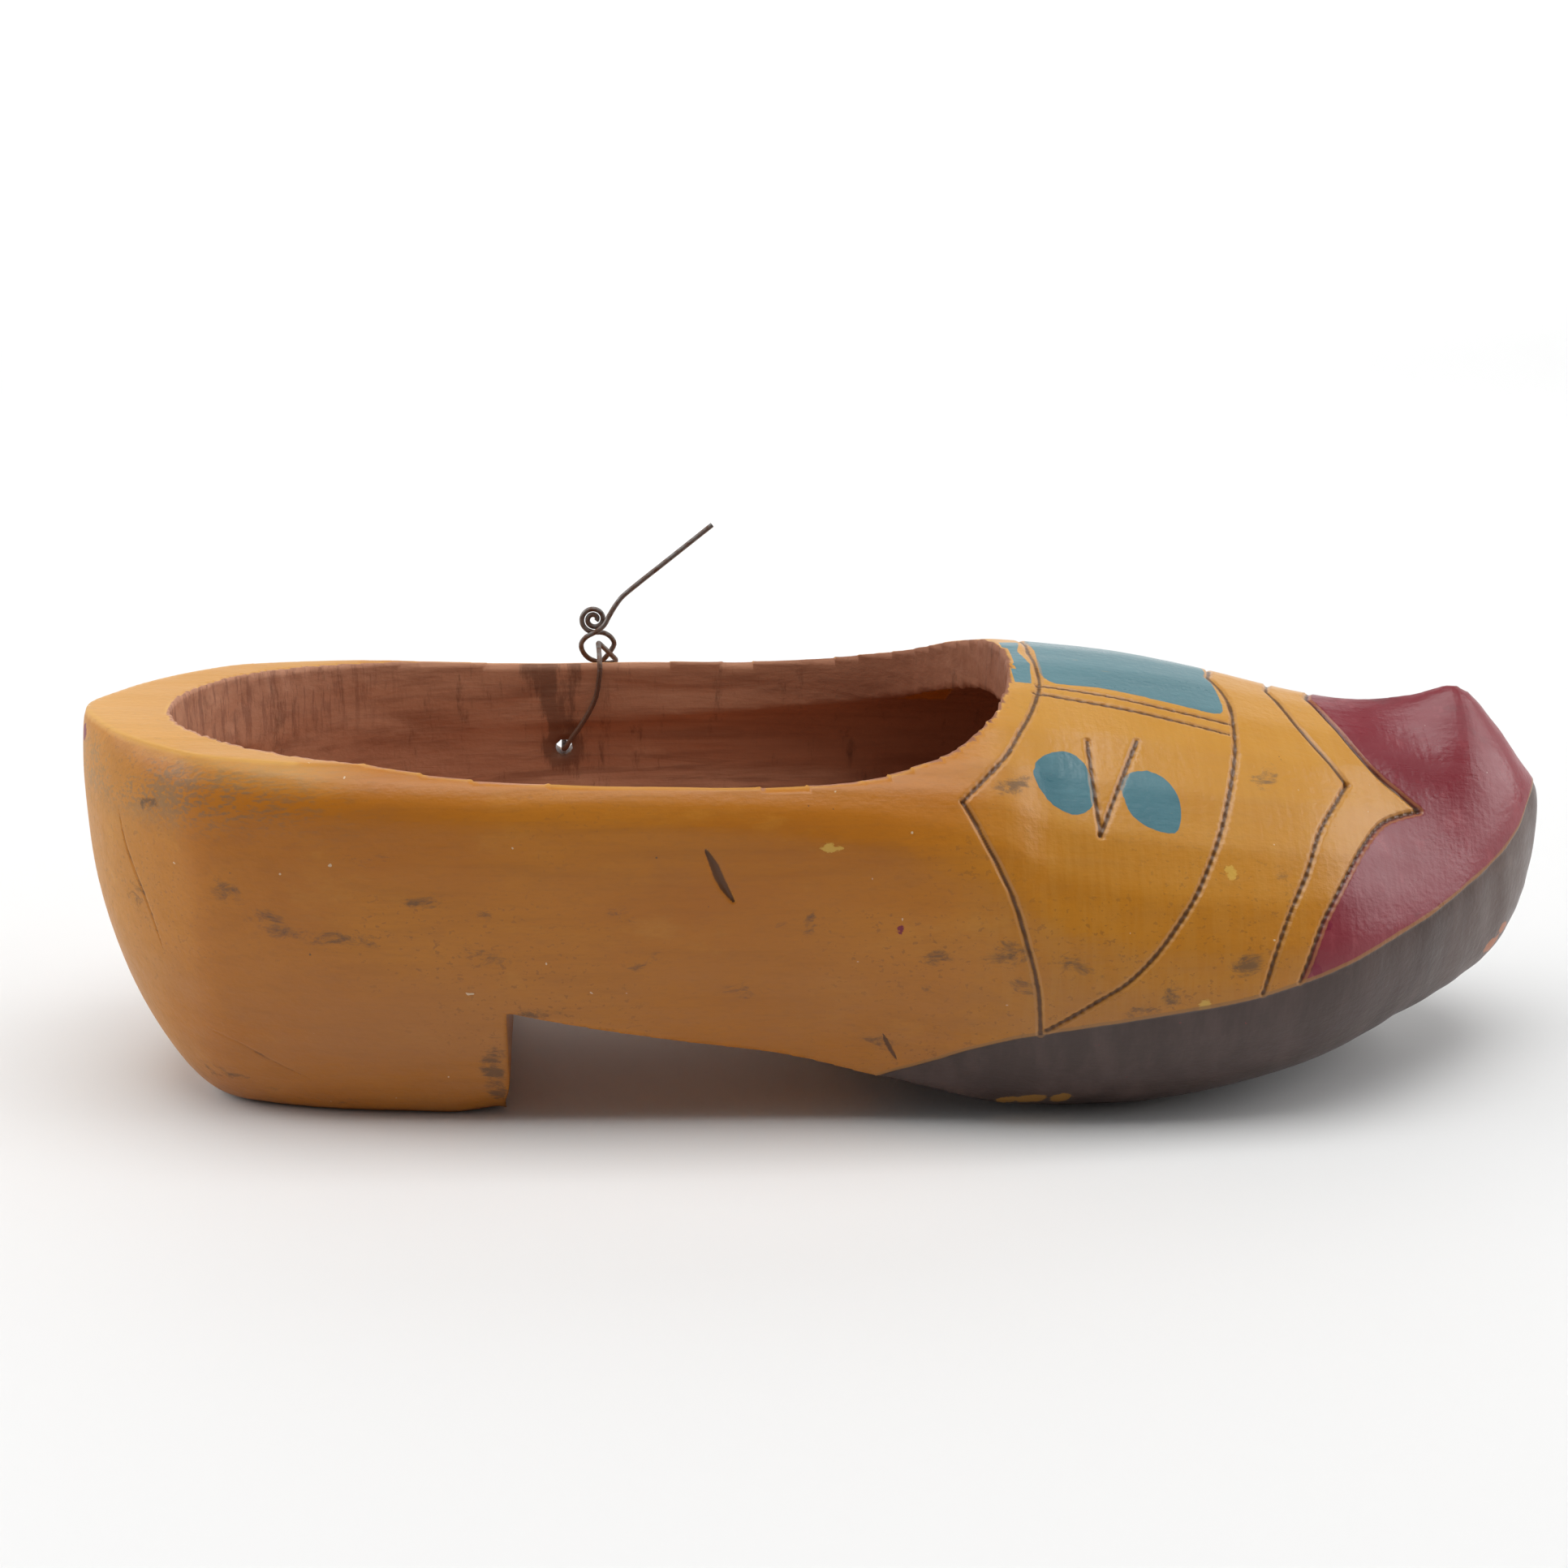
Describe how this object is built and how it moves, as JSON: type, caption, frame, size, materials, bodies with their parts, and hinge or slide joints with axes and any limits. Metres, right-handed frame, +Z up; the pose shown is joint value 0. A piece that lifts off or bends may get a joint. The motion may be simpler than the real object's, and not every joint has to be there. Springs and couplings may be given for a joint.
{
  "type": "wooden clog",
  "caption": "Painted wooden clog with a block heel, an arched waist, a pointed upturned toe and a twisted wire through its inner wall for tying it to its pair.",
  "frame": {"origin": "on the floor, under the middle of the bounding box", "axes": "+X from heel to toe, +Y to the inner (big toe) side, +Z up"},
  "size_m": [0.293, 0.102, 0.1005],
  "materials": {
    "painted_wood": "worn ochre paint with a maroon toe, a dark brown sole band and blue trim",
    "iron_wire": "dull, dark and lightly rusted"
  },
  "bodies": {
    "clog": {"clog_body": "painted_wood"},
    "wire": {"tie_wire": "iron_wire"}
  },
  "joints": [
    {"name": "wire_swing", "type": "hinge", "parent": "clog", "child": "wire", "pos_m": [-0.05362, 0.0435, 0.05337], "axis": [0, 1, 0], "range_deg": [-40, 1]}
  ]
}
